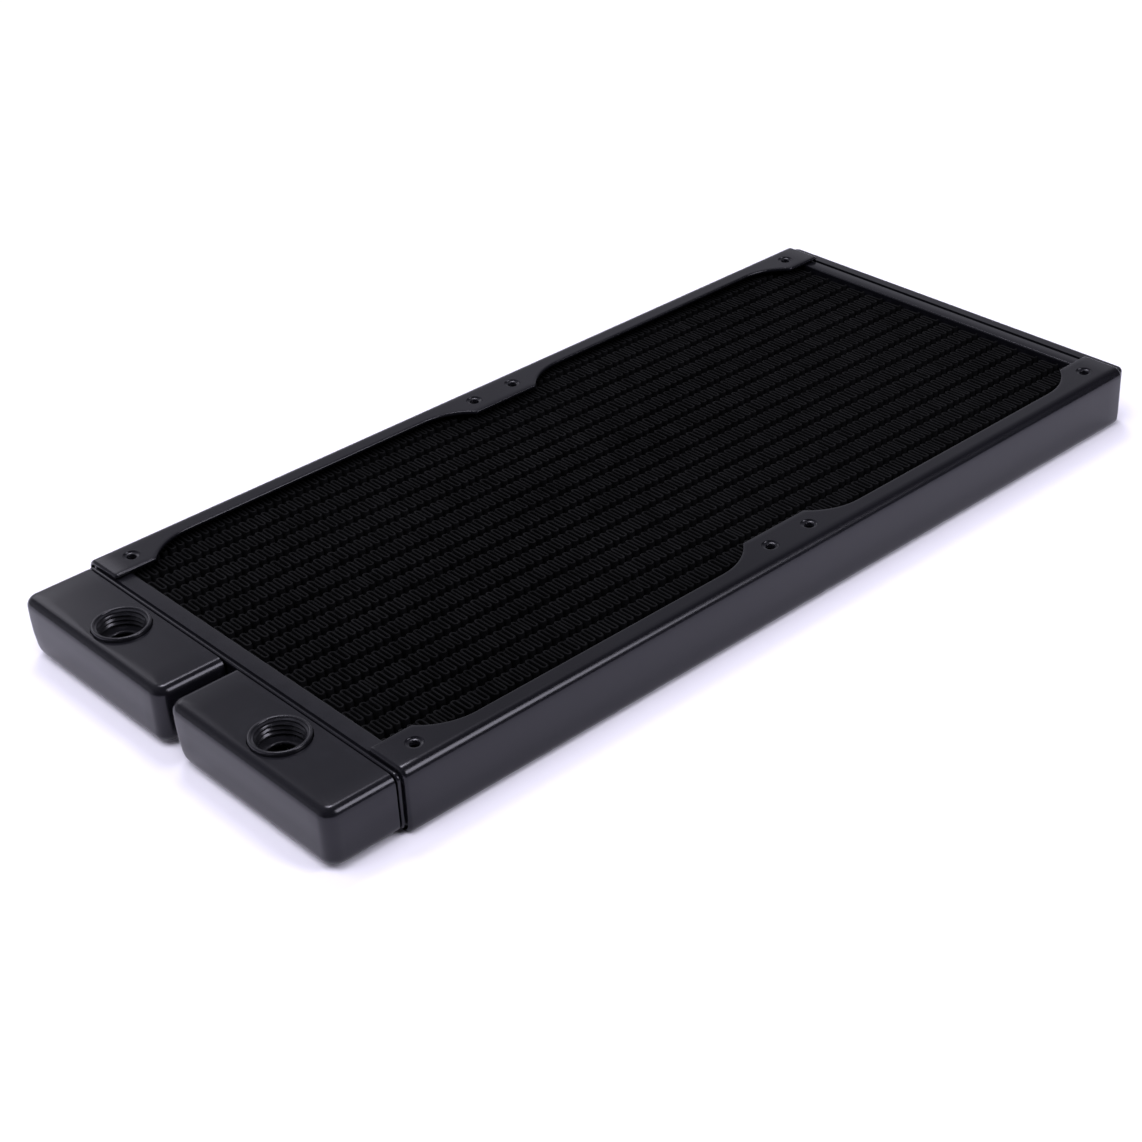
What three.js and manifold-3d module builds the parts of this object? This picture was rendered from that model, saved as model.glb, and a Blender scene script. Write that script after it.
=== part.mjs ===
// Slim two-fan liquid cooling radiator for a computer, as separate pieces in millimetres, +Z up.
// Origin: the middle of the bounding box's bottom face. +X runs from the ports end to the return
// end, and the two fans would sit side by side along X on the top or the bottom face.
import * as THREE from 'three';
import { mergeVertices } from 'three/addons/utils/BufferGeometryUtils.js';
import Module from 'manifold-3d';

const wasm = await Module();
wasm.setup();

// Standard fan pattern.
const FAN_PITCH = 140;
const HOLE_SQUARE = 124.5;
const FAN_COUNT = 2;

// Overall size.
const LENGTH = 309;
const WIDTH = 140;
const HEIGHT = 19.5;
const GAP = 0.3;

// Pressed steel side rails.
const SHEET = 1.2;
const RAIL_LENGTH = 283;
const PORT_OVERHANG = 22.5;
const FAN_MIDDLE_X = PORT_OVERHANG + RAIL_LENGTH / 2 - LENGTH / 2;
const BEND_RADIUS = 1.8;
const FLANGE_WIDTH = 7;
const TAB_DEPTH = 14;
const TAB_HALF_LENGTH = 12;
const CORNER_TAB_LENGTH = 13.2;
const BLEND_RADIUS = 20;
const SCREW_HOLE_RADIUS = 1.5;
const DIMPLE_RADIUS = 2.3;
const DIMPLE_DEPTH = 0.5;
const COLLAR_RADIUS = 2.4;
const COLLAR_DEPTH = 1.0;

// Header plates, which the flat tubes pass through.
const HEADER_INNER_X = 136;
const WEB = 1.3;
const HEADER_RIM = 1.0;
const PORT_HEADER_DEPTH = 6.7;
const RETURN_HEADER_DEPTH = 4.5;
const HEADER_HALF_WIDTH = WIDTH / 2 - SHEET - GAP;
const HEADER_INSET = SHEET + GAP;
const DIVIDER_HALF_WIDTH = 3.5;
const DIVIDER_THICKNESS = 1.5;

// End tanks.
const TANK_INSET = 1.3;
const TANK_WALL = 1.5;
const TANK_CORNER = 4;
const TANK_EDGE = 2;
const TANK_SLOT = 4;

// Threaded port bushes, for a G1/4 thread.
const PORT_Y = 35.5;
const PORT_FROM_FRONT = 11.2;
const BUSH_RADIUS = 8.05;
const BUSH_PROUD = 1.1;
const BUSH_LENGTH = 6.3;
const THREAD_MINOR_RADIUS = 5.9;
const MOUTH_RADIUS = 6.9;
const FLAT_OUTER_RADIUS = 7.6;
const FLOOR_HOLE_RADIUS = 4.5;
const BUSH_FLOOR = 1.2;
const BUSH_SEGMENTS = 28;

// Core of flat tubes and folded fin strips.
const TUBE_COUNT = 16;
const ROW_PITCH = 7.94;
const TUBE_THICKNESS = 1.6;
const TUBE_WALL = 0.4;
const TUBE_DEPTH = 11;
const TUBE_PAST_WEB = 1.2;
const FIN_DEPTH = 14.3;
const FIN_SHEET = 0.8;
const FIN_FOLDS = 36;

// How finely curves are drawn, how far a cutting body runs past what it cuts, and the distance
// within which two corners are one.
const ARC_SEGMENTS = 4;
const BLEND_SEGMENTS = 6;
const CORNER_SEGMENTS = 5;
const EDGE_SEGMENTS = 3;
const HOLE_SEGMENTS = 12;
const CUT_PAST = 1;
const WELD_DISTANCE = 1e-5;

const paint = { color: 0x17181c, roughness: 0.38, metalness: 0.25 };
const finPaint = { color: 0x0d0d0f, roughness: 0.7, metalness: 0.2 };
const bushFinish = { color: 0x1b1b1e, roughness: 0.3, metalness: 0.5 };

const radiator = new THREE.Group();
radiator.name = 'liquid_cooling_radiator';

// Turns a closed geometry into a solid that can be joined and cut.
function toSolid(geometry) {
  const bare = geometry.clone();
  bare.deleteAttribute('normal');
  bare.deleteAttribute('uv');
  const merged = mergeVertices(bare, WELD_DISTANCE);
  return new wasm.Manifold(new wasm.Mesh({
    numProp: 3,
    vertProperties: new Float32Array(merged.attributes.position.array),
    triVerts: new Uint32Array(merged.index.array),
  }));
}

function toGeometry(solid) {
  const mesh = solid.getMesh();
  const corners = new THREE.BufferAttribute(new Float32Array(mesh.vertProperties), 3);
  const geometry = new THREE.BufferGeometry();
  geometry.setAttribute('position', corners);
  geometry.setIndex(new THREE.BufferAttribute(new Uint32Array(mesh.triVerts), 1));
  geometry.computeVertexNormals();
  return geometry;
}

function addPiece(name, geometry, finish) {
  const mesh = new THREE.Mesh(geometry, new THREE.MeshStandardMaterial(finish));
  mesh.name = name;
  radiator.add(mesh);
  return mesh;
}

function box(x0, x1, y0, y1, z0, z1) {
  const geometry = new THREE.BoxGeometry(x1 - x0, y1 - y0, z1 - z0);
  return geometry.translate((x0 + x1) / 2, (y0 + y1) / 2, (z0 + z1) / 2);
}

// A section drawn in the YZ plane, extruded along +X from x0 to x1.
function alongX(section, x0, x1) {
  const geometry = new THREE.ExtrudeGeometry(section, {
    depth: x1 - x0,
    bevelEnabled: false,
    curveSegments: ARC_SEGMENTS,
  });
  const basis = new THREE.Matrix4().makeBasis(
    new THREE.Vector3(0, 1, 0),
    new THREE.Vector3(0, 0, 1),
    new THREE.Vector3(1, 0, 0),
  );
  return geometry.applyMatrix4(basis).translate(x0, 0, 0);
}

// An outline drawn in the XY plane, extruded along +Z from z0 to z1.
function alongZ(outline, z0, z1, curveSegments = BLEND_SEGMENTS) {
  const geometry = new THREE.ExtrudeGeometry(outline, {
    depth: z1 - z0,
    bevelEnabled: false,
    curveSegments,
  });
  return geometry.translate(0, 0, z0);
}

// An upright cylinder or cone frustum, its axis along Z.
function upright(radiusTop, radiusBottom, x, y, z0, z1, segments = HOLE_SEGMENTS) {
  const geometry = new THREE.CylinderGeometry(radiusTop, radiusBottom, z1 - z0, segments);
  return geometry.rotateX(Math.PI / 2).translate(x, y, (z0 + z1) / 2);
}

// Hole positions along X, counted from the middle of the fan pattern.
function holeStations() {
  const stations = [];
  for (let fan = 0; fan < FAN_COUNT; fan += 1) {
    const centre = (fan - (FAN_COUNT - 1) / 2) * FAN_PITCH;
    stations.push(centre - HOLE_SQUARE / 2, centre + HOLE_SQUARE / 2);
  }
  return stations;
}

// C section of the rail whose web is on the -Y side: web, two bends and two narrow flanges.
function railSection() {
  const outer = -WIDTH / 2;
  const inner = outer + FLANGE_WIDTH;
  const bend = outer + BEND_RADIUS;
  const tight = BEND_RADIUS - SHEET;
  const section = new THREE.Shape();
  section.moveTo(inner, 0);
  section.lineTo(inner, SHEET);
  section.lineTo(bend, SHEET);
  section.absarc(bend, BEND_RADIUS, tight, -Math.PI / 2, -Math.PI, true);
  section.lineTo(outer + SHEET, HEIGHT - BEND_RADIUS);
  section.absarc(bend, HEIGHT - BEND_RADIUS, tight, Math.PI, Math.PI / 2, true);
  section.lineTo(inner, HEIGHT - SHEET);
  section.lineTo(inner, HEIGHT);
  section.lineTo(bend, HEIGHT);
  section.absarc(bend, HEIGHT - BEND_RADIUS, BEND_RADIUS, Math.PI / 2, Math.PI, false);
  section.lineTo(outer, BEND_RADIUS);
  section.absarc(bend, BEND_RADIUS, BEND_RADIUS, Math.PI, Math.PI * 1.5, false);
  section.closePath();
  return section;
}

// Flange outline of the -Y rail with its corner tabs and middle tab. Each tab ends in a concave
// arc that runs out tangent to the narrow flange.
function flangeOutline() {
  const end = RAIL_LENGTH / 2;
  const back = -WIDTH / 2 + BEND_RADIUS;
  const narrow = -WIDTH / 2 + FLANGE_WIDTH;
  const tab = -WIDTH / 2 + TAB_DEPTH;
  const arcY = narrow + BLEND_RADIUS;
  const turn = Math.acos((arcY - tab) / BLEND_RADIUS);
  const run = BLEND_RADIUS * Math.sin(turn);
  const down = -Math.PI / 2;
  const corner = end - CORNER_TAB_LENGTH;
  const outline = new THREE.Shape();
  outline.moveTo(-end, back);
  outline.lineTo(end, back);
  outline.lineTo(end, tab);
  outline.lineTo(corner, tab);
  outline.absarc(corner - run, arcY, BLEND_RADIUS, down + turn, down, true);
  outline.absarc(TAB_HALF_LENGTH + run, arcY, BLEND_RADIUS, down, down - turn, true);
  outline.lineTo(-TAB_HALF_LENGTH, tab);
  outline.absarc(-TAB_HALF_LENGTH - run, arcY, BLEND_RADIUS, down + turn, down, true);
  outline.absarc(-corner + run, arcY, BLEND_RADIUS, down, down - turn, true);
  outline.lineTo(-end, tab);
  outline.closePath();
  return outline;
}

// One side rail, centred on the fan pattern, with tapped and dimpled fan holes in both flanges.
function sideRail() {
  const holeY = -HOLE_SQUARE / 2;
  const outline = flangeOutline();
  let rail = toSolid(alongX(railSection(), -RAIL_LENGTH / 2, RAIL_LENGTH / 2));
  rail = rail.add(toSolid(alongZ(outline, 0, SHEET)));
  rail = rail.add(toSolid(alongZ(outline, HEIGHT - SHEET, HEIGHT)));
  const collar = COLLAR_RADIUS;
  const hole = SCREW_HOLE_RADIUS;
  const wide = 2 * DIMPLE_RADIUS - hole;
  const collarFoot = HEIGHT - SHEET - COLLAR_DEPTH;
  const dimple = DIMPLE_DEPTH;
  for (const x of holeStations()) {
    const low = upright(collar, collar, x, holeY, SHEET / 2, SHEET + COLLAR_DEPTH);
    const high = upright(collar, collar, x, holeY, collarFoot, HEIGHT - SHEET / 2);
    rail = rail.add(toSolid(low)).add(toSolid(high));
    const bore = upright(hole, hole, x, holeY, -CUT_PAST, HEIGHT + CUT_PAST);
    const top = upright(wide, hole, x, holeY, HEIGHT - dimple, HEIGHT + dimple);
    const bottom = upright(hole, wide, x, holeY, -dimple, dimple);
    rail = rail.subtract(toSolid(bore)).subtract(toSolid(top)).subtract(toSolid(bottom));
  }
  return toGeometry(rail);
}

// Middle Y of each flat tube, from -Y to +Y.
function tubeMiddles() {
  const middles = [];
  for (let i = 0; i < TUBE_COUNT; i += 1) {
    middles.push((i - (TUBE_COUNT - 1) / 2) * ROW_PITCH);
  }
  return middles;
}

// Tube plate with a slot for each tube and a rim that turns out to meet the tank. It is drawn
// with the web towards +X of its rim and turned round for the return end.
function headerPlate(depth, divided) {
  const half = HEADER_HALF_WIDTH;
  const low = HEADER_INSET;
  const high = HEIGHT - HEADER_INSET;
  const r = HEADER_RIM;
  const front = -HEADER_INNER_X - depth;
  const webFront = -HEADER_INNER_X - WEB;
  let plate = toSolid(box(front, -HEADER_INNER_X, -half, half, low, high));
  const cup = box(front - CUT_PAST, webFront, -half + r, half - r, low + r, high - r);
  plate = plate.subtract(toSolid(cup));
  if (divided) {
    const across = DIVIDER_HALF_WIDTH;
    const wall = box(front, front + DIVIDER_THICKNESS, -across, across, low + r / 2, high - r / 2);
    const rib = box(front + r, webFront + WEB / 2, -r / 2, r / 2, low + r / 2, high - r / 2);
    plate = plate.add(toSolid(wall)).add(toSolid(rib));
  }
  const slotHalf = TUBE_THICKNESS / 2 + GAP;
  const slotLow = (HEIGHT - TUBE_DEPTH) / 2 - GAP;
  const slotHigh = HEIGHT - slotLow;
  const x0 = webFront - CUT_PAST;
  const x1 = CUT_PAST - HEADER_INNER_X;
  for (const y of tubeMiddles()) {
    const slot = box(x0, x1, y - slotHalf, y + slotHalf, slotLow, slotHigh);
    plate = plate.subtract(toSolid(slot));
  }
  return toGeometry(plate);
}

// Plan outline of a tank: rounded at its front corners, square where it meets the header.
function tankOutline(frontX, backX, y0, y1, radius) {
  const outline = new THREE.Shape();
  outline.moveTo(backX, y0);
  outline.lineTo(backX, y1);
  outline.lineTo(frontX + radius, y1);
  outline.absarc(frontX + radius, y1 - radius, radius, Math.PI / 2, Math.PI, false);
  outline.lineTo(frontX, y0 + radius);
  outline.absarc(frontX + radius, y0 + radius, radius, Math.PI, Math.PI * 1.5, false);
  outline.closePath();
  return outline;
}

// A pressed tank, open towards +X at mouthX, its outer edges rounded.
function tankShell(frontX, mouthX, y0, y1) {
  const trimX = mouthX + TANK_EDGE + CUT_PAST;
  const farX = trimX + CUT_PAST;
  const low = TANK_INSET;
  const high = HEIGHT - TANK_INSET;
  const skin = new THREE.ExtrudeGeometry(tankOutline(frontX, trimX, y0, y1, TANK_CORNER), {
    depth: high - low - 2 * TANK_EDGE,
    bevelEnabled: true,
    bevelThickness: TANK_EDGE,
    bevelSize: TANK_EDGE,
    bevelOffset: -TANK_EDGE,
    bevelSegments: EDGE_SEGMENTS,
    curveSegments: CORNER_SEGMENTS,
  });
  skin.translate(0, 0, low + TANK_EDGE);
  const w = TANK_WALL;
  const hollow = tankOutline(frontX + w, farX, y0 + w, y1 - w, TANK_CORNER - w);
  const space = alongZ(hollow, low + w, high - w, ARC_SEGMENTS);
  const c = CUT_PAST;
  const trim = box(mouthX, farX + c, y0 - c, y1 + c, low - c, high + c);
  return toSolid(skin).subtract(toSolid(trim)).subtract(toSolid(space));
}

function portX() {
  return -LENGTH / 2 + PORT_FROM_FRONT;
}

// One of the two port tanks, with the round hole that its bush is soldered into.
function portTank(side) {
  const inner = TANK_SLOT / 2;
  const outer = HEADER_HALF_WIDTH;
  const y0 = side > 0 ? inner : -outer;
  const y1 = side > 0 ? outer : -inner;
  const mouthX = FAN_MIDDLE_X - HEADER_INNER_X - PORT_HEADER_DEPTH - GAP;
  const shell = tankShell(-LENGTH / 2, mouthX, y0, y1);
  const radius = BUSH_RADIUS + GAP;
  const y = side * PORT_Y;
  const top = HEIGHT + CUT_PAST;
  const hole = upright(radius, radius, portX(), y, HEIGHT / 2, top, BUSH_SEGMENTS);
  return toGeometry(shell.subtract(toSolid(hole)));
}

// The return tank, drawn like a port tank and turned half round onto the far end.
function returnTank() {
  const mouthX = FAN_MIDDLE_X + HEADER_INNER_X + RETURN_HEADER_DEPTH + GAP;
  const shell = tankShell(-LENGTH / 2, -mouthX, -HEADER_HALF_WIDTH, HEADER_HALF_WIDTH);
  return toGeometry(shell).rotateZ(Math.PI);
}

// Threaded bush: a thick sleeve with an eased mouth, the thread's minor bore and a floor with a
// smaller hole into the tank.
function portBush() {
  const top = HEIGHT - TANK_INSET + BUSH_PROUD;
  const foot = top - BUSH_LENGTH;
  const ease = BUSH_RADIUS - FLAT_OUTER_RADIUS;
  const profile = [
    [FLOOR_HOLE_RADIUS, foot],
    [BUSH_RADIUS, foot],
    [BUSH_RADIUS, top - ease],
    [FLAT_OUTER_RADIUS, top],
    [MOUTH_RADIUS, top],
    [THREAD_MINOR_RADIUS, top - (MOUTH_RADIUS - THREAD_MINOR_RADIUS)],
    [THREAD_MINOR_RADIUS, foot + BUSH_FLOOR],
    [FLOOR_HOLE_RADIUS, foot + BUSH_FLOOR],
    [FLOOR_HOLE_RADIUS, foot],
  ].map(([r, z]) => new THREE.Vector2(r, z));
  return new THREE.LatheGeometry(profile, BUSH_SEGMENTS).rotateX(Math.PI / 2);
}

// Stadium shape in the YZ plane, long in Z.
function stadium(ShapeClass, y, halfThickness, halfDepth) {
  const middle = HEIGHT / 2;
  const straight = halfDepth - halfThickness;
  const path = new ShapeClass();
  path.moveTo(y + halfThickness, middle - straight);
  path.lineTo(y + halfThickness, middle + straight);
  path.absarc(y, middle + straight, halfThickness, 0, Math.PI, false);
  path.lineTo(y - halfThickness, middle - straight);
  path.absarc(y, middle - straight, halfThickness, Math.PI, 2 * Math.PI, false);
  path.closePath();
  return path;
}

// Flat water tube, open at both ends, running through both header plates.
function flatTube(y) {
  const reach = HEADER_INNER_X + WEB + TUBE_PAST_WEB;
  const section = stadium(THREE.Shape, y, TUBE_THICKNESS / 2, TUBE_DEPTH / 2);
  const inside = TUBE_THICKNESS / 2 - TUBE_WALL;
  section.holes.push(stadium(THREE.Path, y, inside, TUBE_DEPTH / 2 - TUBE_WALL));
  return alongX(section, -reach, reach);
}

// Folded fin strip between two tubes: a ribbon that crosses the row from tube to tube, its two
// faces the same zigzag moved apart across the row.
function finStrip(y) {
  const reach = HEADER_INNER_X - GAP;
  const swing = (ROW_PITCH - TUBE_THICKNESS) / 2 - GAP - FIN_SHEET / 2;
  const step = (2 * reach) / FIN_FOLDS;
  const edge = [];
  const back = [];
  for (let i = 0; i <= FIN_FOLDS; i += 1) {
    const x = -reach + i * step;
    const across = y + (i % 2 === 0 ? -swing : swing);
    edge.push(new THREE.Vector2(x, across - FIN_SHEET / 2));
    back.unshift(new THREE.Vector2(x, across + FIN_SHEET / 2));
  }
  const low = (HEIGHT - FIN_DEPTH) / 2;
  return alongZ(new THREE.Shape([...edge, ...back]), low, low + FIN_DEPTH);
}

function twoDigits(number) {
  return String(number).padStart(2, '0');
}

function addCasing() {
  const near = addPiece('side_rail_near', sideRail(), paint);
  near.position.x = FAN_MIDDLE_X;
  const far = addPiece('side_rail_far', sideRail().rotateZ(Math.PI), paint);
  far.position.x = FAN_MIDDLE_X;
}

function addHeaders() {
  const ports = addPiece('header_plate_ports', headerPlate(PORT_HEADER_DEPTH, true), paint);
  ports.position.x = FAN_MIDDLE_X;
  const turned = headerPlate(RETURN_HEADER_DEPTH, false).rotateZ(Math.PI);
  const back = addPiece('header_plate_return', turned, paint);
  back.position.x = FAN_MIDDLE_X;
}

function addTanks() {
  addPiece('tank_inlet', portTank(-1), paint);
  addPiece('tank_outlet', portTank(1), paint);
  addPiece('tank_return', returnTank(), paint);
  for (const [name, side] of [['port_bush_inlet', -1], ['port_bush_outlet', 1]]) {
    const bush = addPiece(name, portBush(), bushFinish);
    bush.position.set(portX(), side * PORT_Y, 0);
  }
}

function addCore() {
  tubeMiddles().forEach((y, index) => {
    const tube = addPiece(`flat_tube_${twoDigits(index + 1)}`, flatTube(y), finPaint);
    tube.position.x = FAN_MIDDLE_X;
  });
  for (let row = 0; row <= TUBE_COUNT; row += 1) {
    const y = (row - TUBE_COUNT / 2) * ROW_PITCH;
    const strip = addPiece(`fin_strip_${twoDigits(row + 1)}`, finStrip(y), finPaint);
    strip.position.x = FAN_MIDDLE_X;
  }
}

addCasing();
addHeaders();
addTanks();
addCore();

export default radiator;
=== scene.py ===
"""Looks of a slim two-fan liquid cooling radiator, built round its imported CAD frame.

Every piece is worked out in metres in the part's own frame: +X runs from the ports end to the
return end, -Y is the near side and the object stands on z = 0. Lengths below are written in
millimetres times MM. Each sub-assembly is a class that builds its meshes as numpy grids, which a
Skin welds into one closed surface, and each finish is a small class that makes its material.
"""

import logging
import math
from dataclasses import dataclass
from enum import Enum

import bmesh
import bpy
import numpy as np
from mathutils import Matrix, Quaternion, Vector


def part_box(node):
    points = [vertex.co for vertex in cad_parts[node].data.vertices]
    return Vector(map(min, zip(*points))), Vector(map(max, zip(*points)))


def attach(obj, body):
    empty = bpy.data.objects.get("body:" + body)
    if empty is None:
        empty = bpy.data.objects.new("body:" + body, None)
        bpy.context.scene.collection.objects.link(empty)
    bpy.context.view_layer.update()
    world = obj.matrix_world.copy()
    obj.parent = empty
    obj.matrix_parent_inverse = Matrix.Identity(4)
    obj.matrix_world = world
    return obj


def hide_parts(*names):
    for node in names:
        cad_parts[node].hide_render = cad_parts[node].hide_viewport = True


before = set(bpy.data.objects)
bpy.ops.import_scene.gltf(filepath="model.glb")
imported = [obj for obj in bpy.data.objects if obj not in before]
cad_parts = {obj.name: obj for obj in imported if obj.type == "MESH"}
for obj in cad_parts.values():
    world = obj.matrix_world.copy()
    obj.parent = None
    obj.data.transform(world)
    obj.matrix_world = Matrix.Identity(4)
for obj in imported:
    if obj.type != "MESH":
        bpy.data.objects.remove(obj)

MM = 0.001
WELD_DISTANCE = 0.001 * MM
SHARP_ANGLE = math.radians(40)
BODY = "root"
HALF_TURN = np.array([-1.0, -1.0, 1.0])
FULL_TURN = 2 * math.pi

FLOAT = "NodeSocketFloat"
COLOUR = "NodeSocketColor"
VECTOR = "NodeSocketVector"

Triple = tuple[float, float, float]

# The standard fan pattern: two fans side by side along X.
FAN_PITCH = 140 * MM
HOLE_SQUARE = 124.5 * MM

log = logging.getLogger("radiator")


class Side(Enum):
    """Which side of the width a piece is on, as the sign of its Y."""

    NEAR = -1
    FAR = 1


class End(Enum):
    """Which end of the length a piece is at, as the sign of its X."""

    PORTS = -1
    RETURN = 1


# ---------------------------------------------------------------- mesh work


class Skin:
    """Collects grids of points and welds them into the closed mesh of one piece."""

    def __init__(self) -> None:
        """Starts with no grids."""
        self.points: list[np.ndarray] = []
        self.quads: list[np.ndarray] = []
        self.count = 0

    def add(
        self,
        grid: np.ndarray,
        around: bool = False,
        closed: bool = False,
        cells: np.ndarray | None = None,
    ) -> None:
        """Adds a grid whose neighbouring points are joined by quads.

        Args:
            grid: Points of shape (rows, columns, 3).
            around: Whether the last column also joins the first.
            closed: Whether the last row also joins the first.
            cells: Which cells get a quad, of shape (rows - 1, columns - 1). All do if None.
        """
        rows, columns = grid.shape[:2]
        index = np.arange(rows * columns).reshape(rows, columns) + self.count
        if around:
            index = np.concatenate([index, index[:, :1]], axis=1)
        if closed:
            index = np.concatenate([index, index[:1]], axis=0)
        corners = [index[:-1, :-1], index[:-1, 1:], index[1:, 1:], index[1:, :-1]]
        quads = np.stack(corners, axis=-1)
        quads = quads.reshape(-1, 4) if cells is None else quads[cells]
        self.points.append(grid.reshape(-1, 3))
        self.quads.append(quads)
        self.count += rows * columns

    def piece(self, name: str, turned_about: float | None = None) -> bpy.types.Object:
        """Welds what was added into a mesh object whose faces point outwards.

        Points that no quad uses are left out.

        Args:
            name: The object's name.
            turned_about: If given, the points are turned half round about the upright axis
                through this X on the centre line.

        Returns:
            The new object, at the origin, with its place in its mesh.
        """
        used, quads = np.unique(np.concatenate(self.quads), return_inverse=True)
        points = np.concatenate(self.points)[used]
        if turned_about is not None:
            points = points * HALF_TURN + np.array([2 * turned_about, 0.0, 0.0])
        mesh = bpy.data.meshes.new(name)
        mesh.from_pydata(points.tolist(), [], quads.reshape(-1, 4).tolist())
        work = bmesh.new()
        work.from_mesh(mesh)
        bmesh.ops.remove_doubles(work, verts=work.verts, dist=WELD_DISTANCE)
        bmesh.ops.recalc_face_normals(work, faces=work.faces)
        work.to_mesh(mesh)
        work.free()
        mesh.shade_smooth()
        mesh.set_sharp_from_angle(angle=SHARP_ANGLE)
        mark_bends(mesh)
        made = bpy.data.objects.new(name, mesh)
        bpy.context.scene.collection.objects.link(made)
        return made


def mark_bends(mesh: bpy.types.Mesh) -> None:
    """Stores how sharply the surface turns at each vertex as the attribute "bend".

    The value is one minus the mean cosine between the vertex normal and the normals of the faces
    round it, so it is 0 on a flat and rises towards 1 on a tight edge.

    Args:
        mesh: The mesh to mark.
    """
    vertex_of_loop = np.zeros(len(mesh.loops), np.int64)
    mesh.loops.foreach_get("vertex_index", vertex_of_loop)
    sizes = np.zeros(len(mesh.polygons), np.int64)
    mesh.polygons.foreach_get("loop_total", sizes)
    faces = np.zeros(len(mesh.polygons) * 3, np.float32)
    mesh.polygons.foreach_get("normal", faces)
    corners = np.zeros(len(mesh.vertices) * 3, np.float32)
    mesh.vertex_normals.foreach_get("vector", corners)
    face_of_loop = np.repeat(np.arange(len(sizes)), sizes)
    face = faces.reshape(-1, 3)[face_of_loop]
    vertex = corners.reshape(-1, 3)[vertex_of_loop]
    turned = 1.0 - np.sum(face * vertex, axis=1)
    total = np.bincount(vertex_of_loop, turned, len(mesh.vertices))
    number = np.maximum(np.bincount(vertex_of_loop, minlength=len(mesh.vertices)), 1)
    attribute = mesh.attributes.new("bend", "FLOAT", "POINT")
    attribute.data.foreach_set("value", (total / number).astype(np.float32))


def dress(
    piece: bpy.types.Object, material: bpy.types.Material, slot: str, *nodes: str
) -> bpy.types.Object:
    """Gives a piece its material, and lets it ride in place of CAD nodes.

    Args:
        piece: The finished piece.
        material: Its material.
        slot: Not used.
        *nodes: The CAD nodes it stands for.

    Returns:
        The same piece.
    """
    piece.data.materials.append(material)
    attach(piece, BODY)
    if nodes:
        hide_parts(*nodes)
    log.info("%s: %d faces", piece.name, len(piece.data.polygons))
    return piece


def quarter(steps: int) -> np.ndarray:
    """Angles from 0 to a quarter turn in equal steps."""
    return np.linspace(0.0, math.pi / 2, steps + 1)


def stations(*parts: np.ndarray) -> np.ndarray:
    """Joins arrays of positions into one rising array with no repeats."""
    joined = np.sort(np.concatenate([np.atleast_1d(part) for part in parts]))
    return joined[np.concatenate([[True], np.diff(joined) > WELD_DISTANCE])]


def block_rim(grid: np.ndarray, rows: slice, columns: slice) -> np.ndarray:
    """Points round the edge of a block of a grid, going once round it.

    Args:
        grid: Points of shape (rows, columns, 3).
        rows: The block's rows, first to last inclusive.
        columns: The block's columns, first to last inclusive.

    Returns:
        Points of shape (number round the block, 3).
    """
    block = grid[rows, columns]
    sides = [block[0, :-1], block[:-1, -1], block[-1, :0:-1], block[:0:-1, 0]]
    return np.concatenate(sides)


# ---------------------------------------------------------------- finishes


def new_group(
    name: str, inputs: dict[str, tuple[str, object]], outputs: dict[str, str]
) -> tuple[bpy.types.NodeTree, bpy.types.Node, bpy.types.Node]:
    """Makes an empty shader node group with named sockets.

    Args:
        name: The group's name.
        inputs: Socket name to (socket type, default value).
        outputs: Socket name to socket type.

    Returns:
        The group, its input node and its output node.
    """
    group = bpy.data.node_groups.new(name, "ShaderNodeTree")
    for socket, (kind, value) in inputs.items():
        made = group.interface.new_socket(socket, in_out="INPUT", socket_type=kind)
        if value is not None:
            made.default_value = value
    for socket, kind in outputs.items():
        group.interface.new_socket(socket, in_out="OUTPUT", socket_type=kind)
    return group, group.nodes.new("NodeGroupInput"), group.nodes.new("NodeGroupOutput")


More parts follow.
